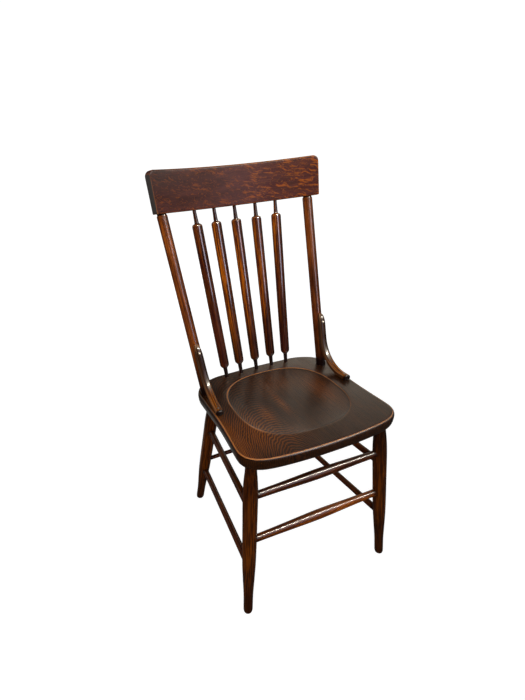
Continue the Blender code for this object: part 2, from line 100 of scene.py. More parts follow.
def turnedGrid(foot, top, knots, around=56, perSpan=6, flatten=1.0, level=False, seed=0.0):
    # a circle carried along the line from foot to top, its diameter following the profile;
    # level slides each point along that line until its ring is horizontal
    foot, top = np.array(foot, float), np.array(top, float)
    along = unit(top - foot)
    across = np.array([0, 0, 1.0]) if abs(along[0]) > 0.7 else np.array([1.0, 0, 0])
    side = unit(across - along * (along @ across))
    up = np.cross(along, side)
    place, size = smoothProfile(knots, perSpan)
    angle = np.arange(around) * 2 * np.pi / around
    circle = np.outer(np.cos(angle), side) + np.outer(np.sin(angle), up) * flatten
    uneven = 1 + 0.006 * np.sin(place / 37.0 + seed)[:, None] * np.cos(angle + seed)[None, :]
    grid = foot + place[:, None, None] * along + circle[None] * (size[:, None] * uneven)[..., None] / 2
    if level:
        height = foot[2] + along[2] * place
        grid = grid - ((grid[..., 2] - height[:, None]) / along[2])[..., None] * along
    local = np.zeros(grid.shape)
    local[..., 0] = np.cos(angle) * size[:, None] / 2
    local[..., 1] = np.sin(angle) * size[:, None] / 2 * flatten
    local[..., 2] = place[:, None]
    ends = [foot + along * place[0], foot + along * place[-1]]
    return grid, local, place, angle, ends


def seeded(local, seed):
    # each piece is cut from its own place in the wood
    return (local + np.array([37.0, 91.0, 613.0]) * seed) * 0.001


def bump(x, middle, wide):
    return np.exp(-((x - middle) / wide) ** 2)


def patch(x, y, middleX, middleY, wide, deep):
    # an oval spot that fades evenly from its middle
    return bump(np.hypot((x - middleX) / wide, (y - middleY) / deep), 0, 1)


def ramp(x, low, high):
    t = np.clip((x - low) / (high - low), 0, 1)
    return t * t * (3 - 2 * t)


def tone(red, green, blue):
    # a colour as paint charts give it, 0 to 255, made linear
    c = np.array([red, green, blue]) / 255
    return (*np.where(c <= 0.04045, c / 12.92, ((c + 0.055) / 1.055) ** 2.4), 1.0)


def addNode(tree, kind, settings=None, **values):
    node = tree.nodes.new(kind)
    for label, value in (settings or {}).items():
        setattr(node, label, value)
    for label, value in values.items():
        key = int(label[1:]) if label[0] == "i" and label[1:].isdigit() else label.replace("_", " ")
        socket = node.inputs[key]
        if isinstance(value, bpy.types.NodeSocket):
            tree.links.new(value, socket)
        else:
            socket.default_value = value
    return node


def doMath(tree, operation, *values, clamp=False):
    node = addNode(tree, "ShaderNodeMath", {"operation": operation, "use_clamp": clamp},
                   **{f"i{i}": v for i, v in enumerate(values)})
    return node.outputs[0]


def stretchVector(tree, vector, scale):
    node = addNode(tree, "ShaderNodeVectorMath", {"operation": "MULTIPLY"}, i0=vector)
    node.inputs[1].default_value = scale
    return node.outputs[0]


def rangeOf(tree, value, low, high, outLow=0.0, outHigh=1.0):
    node = addNode(tree, "ShaderNodeMapRange", {"interpolation_type": "SMOOTHSTEP"},
                   Value=value, From_Min=low, From_Max=high, To_Min=outLow, To_Max=outHigh)
    return node.outputs[0]


def mixColour(tree, share, a, b, blend="MIX"):
    node = addNode(tree, "ShaderNodeMix", {"data_type": "RGBA", "blend_type": blend}, i0=share, i6=a, i7=b)
    return node.outputs[2]


def noiseOf(tree, vector, scale=1.0, detail=2.0, rough=0.5, warp=0.0):
    return addNode(tree, "ShaderNodeTexNoise", {"noise_dimensions": "3D"}, Vector=vector, Scale=scale,
                   Detail=detail, Roughness=rough, Distortion=warp).outputs[0]


def newGroup(name, inputs, outputs):
    group = bpy.data.node_groups.new(name, "ShaderNodeTree")
    for label, kind, value in inputs:
        socket = group.interface.new_socket(label, in_out="INPUT", socket_type=kind)
        if value is not None:
            socket.default_value = value
    for label in outputs:
        group.interface.new_socket(label, in_out="OUTPUT", socket_type="NodeSocketFloat")
    return group, group.nodes.new("NodeGroupInput"), group.nodes.new("NodeGroupOutput")


def buildOakGrain():
    # long fibres, dark open pores and slow clouds, all drawn out along the third coordinate
    inputs = [("Place", "NodeSocketVector", None)]
    group, start, end = newGroup("oakGrain", inputs, ["Fibres", "Pores", "Clouds"])
    place = start.outputs["Place"]
    fibres = noiseOf(group, stretchVector(group, place, (400, 400, 11)), 1.0, 4.0, 0.62, 0.4)
    pores = noiseOf(group, stretchVector(group, place, (1500, 1500, 75)), 1.0, 2.0, 0.55)
    clouds = noiseOf(group, stretchVector(group, place, (34, 34, 9)), 1.0, 3.0, 0.55, 0.6)
    group.links.new(rangeOf(group, fibres, 0.42, 0.63), end.inputs["Fibres"])
    group.links.new(rangeOf(group, pores, 0.60, 0.70), end.inputs["Pores"])
    group.links.new(rangeOf(group, clouds, 0.32, 0.70), end.inputs["Clouds"])
    return group


def buildRayFleck():
    # ribbons across a quarter-sawn face: a gently bent stretched noise cut off high for broad flakes,
    # and the narrow band where a second one crosses its middle value for fine wisps
    inputs = [("Place", "NodeSocketVector", None), ("Amount", "NodeSocketFloat", 0.5)]
    group, start, end = newGroup("rayFleck", inputs, ["Flakes", "Wisps"])
    place = start.outputs["Place"]
    bend = addNode(group, "ShaderNodeTexNoise", {"noise_dimensions": "3D"},
                   Vector=stretchVector(group, place, (30, 30, 30)), Scale=1.0, Detail=2.0)
    swing = addNode(group, "ShaderNodeVectorMath", {"operation": "MULTIPLY_ADD"}, i0=bend.outputs["Color"])
    swing.inputs[1].default_value = (0.020, 0.0, 0.020)
    group.links.new(place, swing.inputs[2])
    turned = addNode(group, "ShaderNodeVectorRotate", {"rotation_type": "EULER_XYZ"},
                     Vector=swing.outputs[0])
    turned.inputs["Rotation"].default_value = (0.0, 0.22, 0.0)
    broad = noiseOf(group, stretchVector(group, turned.outputs[0], (235, 60, 46)), 1.0, 1.8, 0.5, 0.35)
    where = noiseOf(group, stretchVector(group, place, (30, 30, 18)), 1.0, 2.0, 0.5)
    spread = doMath(group, "MULTIPLY", doMath(group, "SUBTRACT", where, 0.5), 0.30)
    level = doMath(group, "ADD", broad, spread)
    need = doMath(group, "SUBTRACT", 0.80, doMath(group, "MULTIPLY", start.outputs["Amount"], 0.30))
    over = doMath(group, "SUBTRACT", level, need)
    group.links.new(rangeOf(group, over, -0.02, 0.05), end.inputs["Flakes"])
    fine = noiseOf(group, stretchVector(group, turned.outputs[0], (150, 60, 50)), 1.0, 0.6, 0.5, 1.0)
    near = doMath(group, "ABSOLUTE", doMath(group, "SUBTRACT", fine, 0.5))
    line = rangeOf(group, near, 0.008, 0.030, 1.0, 0.0)
    group.links.new(doMath(group, "MULTIPLY", line, rangeOf(group, broad, 0.36, 0.52)), end.inputs["Wisps"])
    return group


def buildArchGrain():
    # growth rings cut by a flat board: distance from a heart line that dips below it along its length
    inputs = [("Place", "NodeSocketVector", None), ("Heart", "NodeSocketFloat", 0.0),
              ("Dip", "NodeSocketFloat", 0.3), ("Pitch", "NodeSocketFloat", 0.0035)]
    group, start, end = newGroup("archGrain", inputs, ["Rings", "Late"])
    parts = addNode(group, "ShaderNodeSeparateXYZ", Vector=start.outputs["Place"])
    wander = noiseOf(group, stretchVector(group, start.outputs["Place"], (16, 16, 7)), 1.0, 3.0, 0.5)
    shiver = noiseOf(group, stretchVector(group, start.outputs["Place"], (120, 120, 45)), 1.0, 2.0, 0.5)
    across = doMath(group, "SUBTRACT", parts.outputs[0], start.outputs["Heart"])
    across = doMath(group, "MULTIPLY_ADD", doMath(group, "SUBTRACT", wander, 0.5), 0.030, across)
    deep = doMath(group, "MULTIPLY_ADD", parts.outputs[2], start.outputs["Dip"], 0.045)
    squares = doMath(group, "MULTIPLY_ADD", across, across, doMath(group, "MULTIPLY", deep, deep))
    ring = doMath(group, "DIVIDE", doMath(group, "SQRT", squares), start.outputs["Pitch"])
    ring = doMath(group, "MULTIPLY_ADD", shiver, 1.1, ring)
    wave = doMath(group, "PINGPONG", ring, 0.5)
    group.links.new(rangeOf(group, wave, 0.16, 0.42), end.inputs["Rings"])
    group.links.new(rangeOf(group, wave, 0.02, 0.16, 1.0, 0.0), end.inputs["Late"])
    return group


def buildWearDirtAndPaintedLight():
    # rubbed edges with painted highlights, and settled dirt with painted shade and painted sheen, both
    # broken up by a fine mottle
    inputs = [("Place", "NodeSocketVector", None), ("Rub", "NodeSocketFloat", 0.0),
              ("Soot", "NodeSocketFloat", 0.0)]
    group, start, end = newGroup("wearDirtAndPaintedLight", inputs, ["Rubbed", "Sooty"])
    mottle = noiseOf(group, stretchVector(group, start.outputs["Place"], (240, 240, 240)), 1.0, 3.0, 0.6)
    slow = noiseOf(group, stretchVector(group, start.outputs["Place"], (22, 22, 22)), 1.0, 2.0, 0.5)
    both = doMath(group, "ADD", doMath(group, "MULTIPLY", mottle, 0.6), doMath(group, "MULTIPLY", slow, 0.6))
    rubAndHighlight = doMath(group, "MULTIPLY", start.outputs["Rub"], doMath(group, "ADD", both, 0.45))
    sootShadeAndSheen = doMath(group, "MULTIPLY", start.outputs["Soot"], doMath(group, "ADD", both, 0.45))
    group.links.new(rangeOf(group, rubAndHighlight, 0.10, 0.85), end.inputs["Rubbed"])
    group.links.new(doMath(group, "MINIMUM", sootShadeAndSheen, 1.0), end.inputs["Sooty"])
    return group


oakGrain, rayFleck, archGrain, wearDirtAndPaintedLight = buildOakGrain(), buildRayFleck(), buildArchGrain(), buildWearDirtAndPaintedLight()


def useGroup(tree, group, **values):
    node = tree.nodes.new("ShaderNodeGroup")
    node.node_tree = group
    for label, value in values.items():
        if isinstance(value, bpy.types.NodeSocket):
            tree.links.new(value, node.inputs[label])
        else:
            node.inputs[label].default_value = value
    return node


def field(tree, name, kind="Fac"):
    return addNode(tree, "ShaderNodeAttribute", {"attribute_name": name}).outputs[kind]


def oakMaterial(name, look):
    # stained oak: dark to mid by cloud, light fibres over it, flakes or arches, then rubbed edges with
    # painted highlights, and soot with painted shade and painted sheen; the varnish goes where the edges are
    # rubbed and where soot, shade and sheen are painted
    material = bpy.data.materials.new(name)
    material.use_nodes = True
    tree = material.node_tree
    shader = tree.nodes["Principled BSDF"]
    place = field(tree, "grain", "Vector")
    grain = useGroup(tree, oakGrain, Place=place)
    colour = mixColour(tree, grain.outputs["Clouds"], tone(*look["dark"]), tone(*look["mid"]))
    share = doMath(tree, "MULTIPLY", grain.outputs["Fibres"], look["streaks"])
    amber = field(tree, "amber")
    share = doMath(tree, "MULTIPLY", share, doMath(tree, "ADD", 0.14, amber), clamp=True)
    warmth = doMath(tree, "MULTIPLY", amber, look["warmth"], clamp=True)
    colour = mixColour(tree, warmth, colour, tone(*look["glow"]))
    colour = mixColour(tree, share, colour, tone(*look["light"]))
    height = doMath(tree, "MULTIPLY", grain.outputs["Fibres"], 0.35)
    if "flakes" in look:
        amount = doMath(tree, "MULTIPLY_ADD", amber, look["flakeSpread"], look["flakes"])
        fleck = useGroup(tree, rayFleck, Place=place, Amount=amount)
        faint = doMath(tree, "MULTIPLY_ADD", amber, 0.25, look["wisps"])
        wisps = doMath(tree, "MULTIPLY", fleck.outputs["Wisps"], faint)
        colour = mixColour(tree, wisps, colour, tone(*look["flake"]))
        show = doMath(tree, "MULTIPLY_ADD", amber, look["flakeShow"], 0.30, clamp=True)
        flakes = doMath(tree, "MULTIPLY", fleck.outputs["Flakes"], show)
        colour = mixColour(tree, flakes, colour, tone(*look["flake"]))
    if "arches" in look:
        arch = useGroup(tree, archGrain, Place=place, Heart=look["heart"], Dip=look["dip"],
                        Pitch=look["arches"])
        show = doMath(tree, "MULTIPLY_ADD", amber, look["ringShow"], 0.06)
        lines = doMath(tree, "MULTIPLY", arch.outputs["Rings"], show, clamp=True)
        colour = mixColour(tree, lines, colour, tone(*look["light"]))
        late = doMath(tree, "MULTIPLY", arch.outputs["Late"], 0.45)
        colour = mixColour(tree, late, colour, tone(*look["dark"]))
        height = doMath(tree, "ADD", height, doMath(tree, "MULTIPLY", arch.outputs["Rings"], 0.5))
    pores = doMath(tree, "MULTIPLY", grain.outputs["Pores"], look["pores"])
    colour = mixColour(tree, pores, colour, tone(*look["pore"]))
    wearDirtAndLightNode = useGroup(tree, wearDirtAndPaintedLight, Place=place, Rub=field(tree, "rubAndHighlight"), Soot=field(tree, "sootShadeAndSheen"))
    colour = mixColour(tree, wearDirtAndLightNode.outputs["Rubbed"], colour, tone(*look["wornAndHighlight"]))
    colour = mixColour(tree, wearDirtAndLightNode.outputs["Sooty"], colour, tone(*look["sootShadeAndSheen"]))
    tree.links.new(colour, shader.inputs["Base Color"])
    dull = doMath(tree, "MULTIPLY_ADD", grain.outputs["Clouds"], look["dull"], look["gloss"])
    dull = doMath(tree, "MULTIPLY_ADD", wearDirtAndLightNode.outputs["Rubbed"], 0.55, dull)
    dull = doMath(tree, "MULTIPLY_ADD", grain.outputs["Pores"], 0.12, dull)
    tree.links.new(dull, shader.inputs["Roughness"])
    height = doMath(tree, "MULTIPLY_ADD", grain.outputs["Pores"], -1.0, height)
    relief = addNode(tree, "ShaderNodeBump", None, Height=height, Strength=look["relief"], Distance=0.00022)
    tree.links.new(relief.outputs[0], shader.inputs["Normal"])
    kept = doMath(tree, "MAXIMUM", wearDirtAndLightNode.outputs["Rubbed"], wearDirtAndLightNode.outputs["Sooty"])
    kept = doMath(tree, "MULTIPLY_ADD", kept, -0.9, 1.0)
    tree.links.new(doMath(tree, "MULTIPLY", kept, look["varnish"]), shader.inputs["Coat Weight"])
    shader.inputs["Specular IOR Level"].default_value = look["shine"]
    shader.inputs["Coat Roughness"].default_value = look["varnishDull"]
    return material


def steelMaterial():
    material = bpy.data.materials.new("dulledSteel")
    material.use_nodes = True
    tree = material.node_tree
    shader = tree.nodes["Principled BSDF"]
    place = field(tree, "grain", "Vector")
    rust = noiseOf(tree, stretchVector(tree, place, (900, 900, 900)), 1.0, 3.0, 0.6)
    colour = mixColour(tree, rangeOf(tree, rust, 0.45, 0.7), tone(118, 112, 104), tone(58, 46, 38))
    tree.links.new(colour, shader.inputs["Base Color"])
    tree.links.new(rangeOf(tree, rust, 0.3, 0.7, 0.34, 0.55), shader.inputs["Roughness"])
    shader.inputs["Metallic"].default_value = 1.0
    return material


crestLook = {
    "dark": (90, 42, 38), "mid": (122, 62, 56), "light": (146, 78, 56), "streaks": 0.40,
    "pores": 0.7, "pore": (44, 18, 16), "glow": (108, 36, 24), "warmth": 0.62,
    "flakes": 0.45, "flakeSpread": 0.32, "flake": (222, 112, 30), "flakeShow": 0.60, "wisps": 0.50,
    # the pale grey on the next line is a painted grey sheen on the rail's upper left, and the colour of its
    # end faces
    "wornAndHighlight": (235, 146, 76), "sootShadeAndSheen": (92, 86, 84), "gloss": 0.42, "dull": 0.10, "relief": 0.4,
    "varnish": 0.03, "varnishDull": 0.20, "shine": 0.03,
}
seatLook = {
    "dark": (30, 15, 5), "mid": (52, 26, 8), "light": (218, 118, 28), "streaks": 0.26,
    "pores": 0.7, "pore": (20, 10, 5), "glow": (118, 48, 12), "warmth": 0.42,
    "arches": 0.0029, "heart": -0.085, "dip": 0.30, "ringShow": 0.85,
    "wornAndHighlight": (240, 142, 54), "sootShadeAndSheen": (20, 12, 8), "gloss": 0.30, "dull": 0.08, "relief": 0.3,
    "varnish": 0.05, "varnishDull": 0.16, "shine": 0.22,
}
spindleLook = {
    "dark": (44, 9, 8), "mid": (86, 25, 16), "light": (242, 128, 10), "streaks": 1.0,
    "pores": 0.8, "pore": (28, 7, 5), "glow": (132, 50, 6), "warmth": 0.42,
    "wornAndHighlight": (235, 140, 62), "sootShadeAndSheen": (30, 13, 9), "gloss": 0.30, "dull": 0.08, "relief": 0.12,
    "varnish": 1.0, "varnishDull": 0.10, "shine": 0.08,
}
stileLook = dict(spindleLook, dark=(60, 20, 10), mid=(116, 52, 22), light=(214, 114, 38), glow=(156, 72, 24),
                 streaks=0.9, varnish=0.40)
legLook = dict(spindleLook, dark=(34, 11, 3), mid=(66, 25, 3), light=(146, 74, 10), glow=(94, 42, 4),
               streaks=0.9, varnish=0.3, varnishDull=0.18)
railLook = dict(spindleLook, dark=(30, 8, 6), mid=(60, 19, 12), light=(206, 106, 14), glow=(166, 80, 6),
                streaks=0.8, relief=0.02, warmth=0.75, varnish=0.16, varnishDull=0.07)
braceLook = dict(spindleLook, dark=(32, 19, 12), mid=(62, 35, 20), light=(232, 134, 36), glow=(164, 84, 20),
                 streaks=0.9, wornAndHighlight=(216, 164, 122), varnish=0.16, varnishDull=0.12)
crestOak = oakMaterial("crestOak", crestLook)
seatOak = oakMaterial("seatOak", seatLook)
spindleOak = oakMaterial("spindleOak", spindleLook)
stileOak = oakMaterial("stileOak", stileLook)
legOak = oakMaterial("legOak", legLook)
railOak = oakMaterial("railOak", railLook)
braceOak = oakMaterial("braceOak", braceLook)
dulledSteel = steelMaterial()
print("materials made")


# the seat: a plank with a shallow dish, a line worn round it and a rounded edge
seatValues = {
    "top": 460.0, "shift": 2.0, "middleY": 179.0, "dishRadius": 138.4, "squareness": 2.55, "around": 420,
    "arrisIn": 3.2, "cupped": 1.4, "stileBase": (167.4, 286.9),
    # share of the way out across the dish, and how deep it is there
    "dish": ((0.0, 5.8), (0.45, 5.1), (0.72, 3.8), (0.88, 2.3), (0.955, 1.3), (0.985, 0.7), (1.0, 0.12)),
    # out from the arris and down from the top, over the rounded edge
    "edge": ((0.0, 0.0), (1.4, 0.25), (3.2, 1.3), (4.7, 3.2), (5.6, 6.0), (6.0, 10.0), (5.6, 15.5),
             (4.9, 20.5), (3.2, 25.6), (1.0, 28.5), (-2.2, 29.8)),
    # half of the outline from front to back: out from the middle line, and back
    "half": ((0, -15.1), (54.3, -13.9), (103.7, -10.2), (138.2, -5.5), (160, 0.2), (176.8, 9.5),
             (188.2, 21.7), (193.7, 36.4), (194.7, 50.2), (193.3, 71.8), (190.4, 106.2), (187.8, 142.6),
             (186.4, 175), (186.2, 214.5), (186.1, 249), (185.9, 288.5), (181.5, 306.3), (172.6, 322.1),
             (159.7, 334.9), (138.9, 345.8), (114.1, 352.8), (79.4, 354.7), (39.7, 356.3), (0, 356.9)),
    # patches of warmer wood: x, y, half-width, half-depth, strength
    "amber": ((-186, 80, 22, 110, 0.85), (-128, 105, 34, 60, 0.70), (-100, 45, 70, 45, 0.35),
              (-73, 140, 14, 38, 0.55), (-19, 172, 9, 42, 0.60), (98, 180, 30, 75, 0.45),
              (10, 255, 50, 40, 0.30)),
    # small nicks on the left front corner: x, y, depth below the top
    "nicks": ((-172, 18, 5.0), (-160, -2, 8.0)),
}


def seatOutline(values):
    # a closed Catmull-Rom curve through the half outline and its mirror, read at even steps along it,
    # as angle about the middle and distance from it
    right = np.array(values["half"], float)
    knots = np.concatenate([right, right[-2:0:-1] * (-1, 1)])
    p0, p1, p2, p3 = (np.roll(knots, shift, axis=0)[:, None] for shift in (1, 0, -1, -2))
    t = (np.arange(20) / 20)[None, :, None]
    dense = 2 * p1 + (p2 - p0) * t + (2 * p0 - 5 * p1 + 4 * p2 - p3) * t ** 2
    dense = (0.5 * (dense + (3 * p1 - 3 * p2 + p3 - p0) * t ** 3)).reshape(-1, 2)
    length = np.append(0, np.cumsum(np.hypot(*(np.roll(dense, -1, axis=0) - dense).T)))
    reading = np.arange(values["around"]) * length[-1] / values["around"]
    closed = np.concatenate([dense, dense[:1]])
    outline = np.stack([np.interp(reading, length, column) for column in closed.T], axis=1)
    offset = outline - (0, values["middleY"])
    return np.arctan2(offset[:, 1], offset[:, 0]), np.hypot(*offset.T)


def buildSeat(values):
    # rings about the middle: out across the dish, whose rim is a squared circle, then across the flat
    # to the outline, over the rounded edge, and in underneath
    angle, outer = seatOutline(values)
    power = values["squareness"]
    cosine, sine = np.abs(np.cos(angle)), np.abs(np.sin(angle))
    inner = values["dishRadius"] / (cosine ** power + sine ** power) ** (1 / power)
    arris = outer - values["arrisIn"]
    share, depth = smoothProfile(values["dish"], 9)
    share, depth = share[1:], depth[1:]
    flat = np.linspace(0, 1, 16)[1:]
    bulge = smoothProfile([(i, e[0]) for i, e in enumerate(values["edge"])], 4)[1]
    drop = smoothProfile([(i, e[1]) for i, e in enumerate(values["edge"])], 4)[1]
    under = np.linspace(0, 0.9, 7)[1:]
    radius = np.concatenate([inner * share[:, None], inner + (arris - inner) * flat[:, None],
                             arris + bulge[1:, None], (arris + bulge[-1]) * (1 - under[:, None])])
    low = np.concatenate([depth, np.zeros(len(flat)), drop[1:], np.full(len(under), values["edge"][-1][1])])
    sag = values["cupped"] * ramp(low, 14, 29)  # the underside is cupped, lower at its two sides
    grid = np.zeros((*radius.shape, 3))
    grid[..., 0] = np.cos(angle) * radius + values["shift"]
    grid[..., 1] = np.sin(angle) * radius + values["middleY"]
    grid[..., 2] = values["top"] - low[:, None] - sag[:, None] * cosine ** 1.5
    x, y = grid[..., 0], grid[..., 1]
    onTop = (np.arange(len(low)) < len(share) + len(flat) + 8)[:, None]
    ring = bump(radius, inner, 1.0) * onTop
    # the worn line round the dish shows most at its left and its back
    ringShow = 0.35 + 0.9 * bump(x, -70, 75) * ramp(y, 120, 210) + 0.75 * bump(y, 310, 30)
    ringShow = ringShow + 0.5 * patch(x, y, 120, 215, 40, 70) + 0.8 * patch(x, y, -128, 95, 30, 45)
    edge = bump(radius, arris + 1.9, 1.45) * onTop
    frontRub = (0.80 + 0.25 * ramp(-x, 60, 150)) * (1 - 0.75 * ramp(y, 130, 230))
    rubAndHighlight = ring * np.clip(ringShow, 0, 1.1) * 0.82 + edge * frontRub
    for nickX, nickY, deep in values["nicks"]:
        rubAndHighlight = rubAndHighlight + 0.8 * patch(x, y, nickX, nickY, 1.3, 6.0) * bump(low[:, None], deep, 1.3)
    amber = 0.04 + sum(strength * patch(x, y, *spot) for *spot, strength in values["amber"])
    # dirt lies underneath, along the foot of the dish's rim and round the stiles
    sootShadeAndSheen = 0.5 * (low[:, None] > 26) + 0.35 * bump(radius, inner - 3.5, 2.5) * onTop
    stileX, stileY = values["stileBase"]
    for side in (-1, 1):
        sootShadeAndSheen = sootShadeAndSheen + 0.8 * patch(x, y, side * stileX, stileY, 17, 17) * onTop
    local = np.stack([x, -low[:, None] + 0 * x, y], axis=-1)
    fields = {"grain": seeded(local, 0.0), "rubAndHighlight": rubAndHighlight, "amber": amber * onTop, "sootShadeAndSheen": sootShadeAndSheen}
    caps = [(values["shift"], values["middleY"], values["top"] - deep)
            for deep in (values["dish"][0][1], values["edge"][-1][1])]
    return makePiece("seatBoard", grid, caps, fields, seatOak, ["seat"])


buildSeat(seatValues)
print("seat made")


# the legs: turned, splayed, slim at the foot and full under the seat
legValues = {
    "under": 430.2, "topFront": (167.2, 34.9), "topRear": (137.9, 308.6),
    "feet": {("front", -1): (202.1, -4.3), ("front", 1): (200.3, 1.5),
             ("rear", -1): (169.5, 416.4), ("rear", 1): (170.7, 430.4)},
    # height and diameter
    "profile": ((0, 15.4), (0.5, 18.0), (1.6, 19.9), (4, 21.4), (8, 22.6), (45, 23.1), (62, 23.9),
                (78, 25.3), (95, 27.1), (120, 29.3), (150, 31.7), (205, 33.2), (275, 33.7), (330, 34.2),
                (350, 33.8), (372, 32.3), (390, 29.8), (408, 26.6), (434, 24.2)),
}


def onLeg(which, side, z):
    # the point of a leg's middle line at height z, straight from its foot to the seat
    foot = np.array(legValues["feet"][which, side], float)
    top = np.array(legValues["topFront" if which == "front" else "topRear"], float)
    x, y = foot + (top - foot) * z / legValues["under"]
    return np.array([side * x, y, z])


def buildLeg(which, side, seed):
    # a circle carried up the leg's middle line, its diameter read from the profile by height, rings level
    foot, top = onLeg(which, side, 0.0), onLeg(which, side, legValues["under"])
    stretch = np.linalg.norm(top - foot) / legValues["under"]
    knots = [(z * stretch, size) for z, size in legValues["profile"]]
    grid, local, place, angle, ends = turnedGrid(foot, top, knots, 64, 6, level=True, seed=seed)
    z = np.repeat(place[:, None] / stretch, len(angle), axis=1)
    amber = 0.25 + 0.75 * bump(z, 235, 110)
    sootShadeAndSheen = 0.7 * ramp(z, 422, 430) + 0.35 * bump(z, 0, 20)
    # painted shade: the front right leg is darkened all over, and most towards its top, where the seat
    # shades it
    if which == "front" and side > 0:
        sootShadeAndSheen = sootShadeAndSheen + 0.15 + 0.4 * ramp(z, 280, 400)
    fields = {"grain": seeded(local, seed), "rubAndHighlight": 0.25 * bump(z, 3, 4), "amber": amber, "sootShadeAndSheen": sootShadeAndSheen}
    word = "Left" if side < 0 else "Right"
    node = f"leg_{which}_{word.lower()}"
    return makePiece(which + word + "Leg", grid, ends, fields, legOak, [node])


for legNumber, (legPlace, legSide) in enumerate(legValues["feet"]):
    buildLeg(legPlace, legSide, 1.3 + legNumber)
print("legs made")


# the stretchers: the front pair swell in the middle, the rest are nearly straight
stretcherValues = {
    # share of the length and diameter, for each kind
    "front": ((0.0, 17.6), (0.05, 18.0), (0.16, 19.0), (0.29, 21.0), (0.41, 23.1), (0.5, 24.0),
              (0.59, 23.1), (0.71, 21.0), (0.84, 19.0), (0.95, 18.0), (1.0, 17.6)),
    "side": ((0.0, 16.4), (0.06, 16.6), (0.3, 16.1), (0.5, 16.0), (0.7, 16.1), (0.94, 16.6), (1.0, 16.4)),
    "rear": ((0.0, 11.6), (0.06, 11.8), (0.3, 12.4), (0.5, 12.8), (0.7, 12.4), (0.94, 11.8), (1.0, 11.6)),
    "bury": 6.0,  # how far short of the leg's middle line a stretcher ends
    # piece, node, the two places on the legs and the kind
    "list": (
        ("frontUpperRail", "stretcher_front_upper", ("front", -1, 340.4), ("front", 1, 338.4), "front"),
        ("frontLowerRail", "stretcher_front_lower", ("front", -1, 219.6), ("front", 1, 216.8), "front"),
        ("leftUpperRail", "stretcher_side_upper_left", ("front", -1, 307.9), ("rear", -1, 307.9), "side"),
        ("rightUpperRail", "stretcher_side_upper_right", ("front", 1, 307.9), ("rear", 1, 307.9), "side"),
        ("leftLowerRail", "stretcher_side_lower_left", ("front", -1, 144.6), ("rear", -1, 142.2), "side"),
        ("rightLowerRail", "stretcher_side_lower_right", ("front", 1, 144.6), ("rear", 1, 142.2), "side"),
        ("rearRail", "stretcher_rear", ("rear", -1, 179.7), ("rear", 1, 179.7), "rear"),
    ),
}


def buildStretcher(name, node, start, end, kind, seed):
    # a circle carried straight from leg to leg, its diameter read from the profile by share of the length
    a, b = onLeg(*start), onLeg(*end)
    along = unit(b - a)
    a, b = a + along * stretcherValues["bury"], b - along * stretcherValues["bury"]
    long = np.linalg.norm(b - a)
    knots = [(share * long, size) for share, size in stretcherValues[kind]]
    grid, local, place, angle, ends = turnedGrid(a, b, knots, 48, 10, seed=seed)
    s = np.repeat(place[:, None] / long, len(angle), axis=1)
    nearLeg = np.minimum(place, long - place)[:, None] + 0 * s
    sootShadeAndSheen = 0.9 * bump(nearLeg, 6, 13)
    amber = 0.12 + 0 * s
    if name == "frontLowerRail":
        amber = amber + 0.25 + 0.75 * bump(s, 0.72, 0.22)
    fields = {"grain": seeded(local, seed), "rubAndHighlight": 0 * s, "amber": amber, "sootShadeAndSheen": sootShadeAndSheen}
    return makePiece(name, grid, ends, fields, railOak, [node])


for railNumber, railRow in enumerate(stretcherValues["list"]):
    buildStretcher(*railRow, 7.1 + railNumber)
print("stretchers made")


# the crest rail: a bent board that leans back over the stiles and spindles
crestValues = {
    "half": 217.4, "sag": 0.00088, "y": 460.1, "z": 862.2, "lean": 0.232, "high": 92.3, "thick": 20.0,
    "corner": 13.0, "flare": 0.02, "shift": 4.2, "lowRound": 1.6, "highRound": 4.6, "endRound": 2.2,
    "endMiddle": 42.0,
}


def crestPoint(x, through=0.0, up=0.0, shift=None):
    # along a bent middle line, through its thickness towards the back, and up its leaning height
    c = crestValues
    x, through, up = np.broadcast_arrays(np.asarray(x, float), through, up)
    slope = -2 * c["sag"] * x
    size = np.hypot(1.0, slope)
    depth = -c["sag"] * x * x + through / size
    moved = x - slope / size * through + (c["shift"] if shift is None else shift)
    y = c["y"] + depth * math.cos(c["lean"]) + up * math.sin(c["lean"])
    z = c["z"] - depth * math.sin(c["lean"]) + up * math.cos(c["lean"])
    return np.stack([moved, y, z], axis=-1)


def crestSection(high):
    # (through, up) round the rail's section: four quarter circles joined by straight sides
    c = crestValues
    half, low, top = c["thick"] / 2, c["lowRound"], c["highRound"]
    turn = np.radians(np.linspace(0, 90, 7))
    found = []
    corners = ((-half, 0, low, 270), (-half, high, top, 180), (half, high, top, 90), (half, 0, low, 0))
    for through, up, radius, begin in corners:
        a = np.radians(begin) - turn
        middle = (through - np.sign(through) * radius, radius if up == 0 else up - radius)
        found.append(np.stack([middle[0] + radius * np.cos(a), middle[1] + radius * np.sin(a)], axis=1))
    sides = (18, 4, 18, 4)
    loop = []
    for index, corner in enumerate(found):
        after = found[(index + 1) % 4]
        t = np.linspace(0, 1, sides[index] + 2)[1:-1, None]
        loop += [corner, corner[-1] + (after[0] - corner[-1]) * t]
    return np.concatenate(loop)


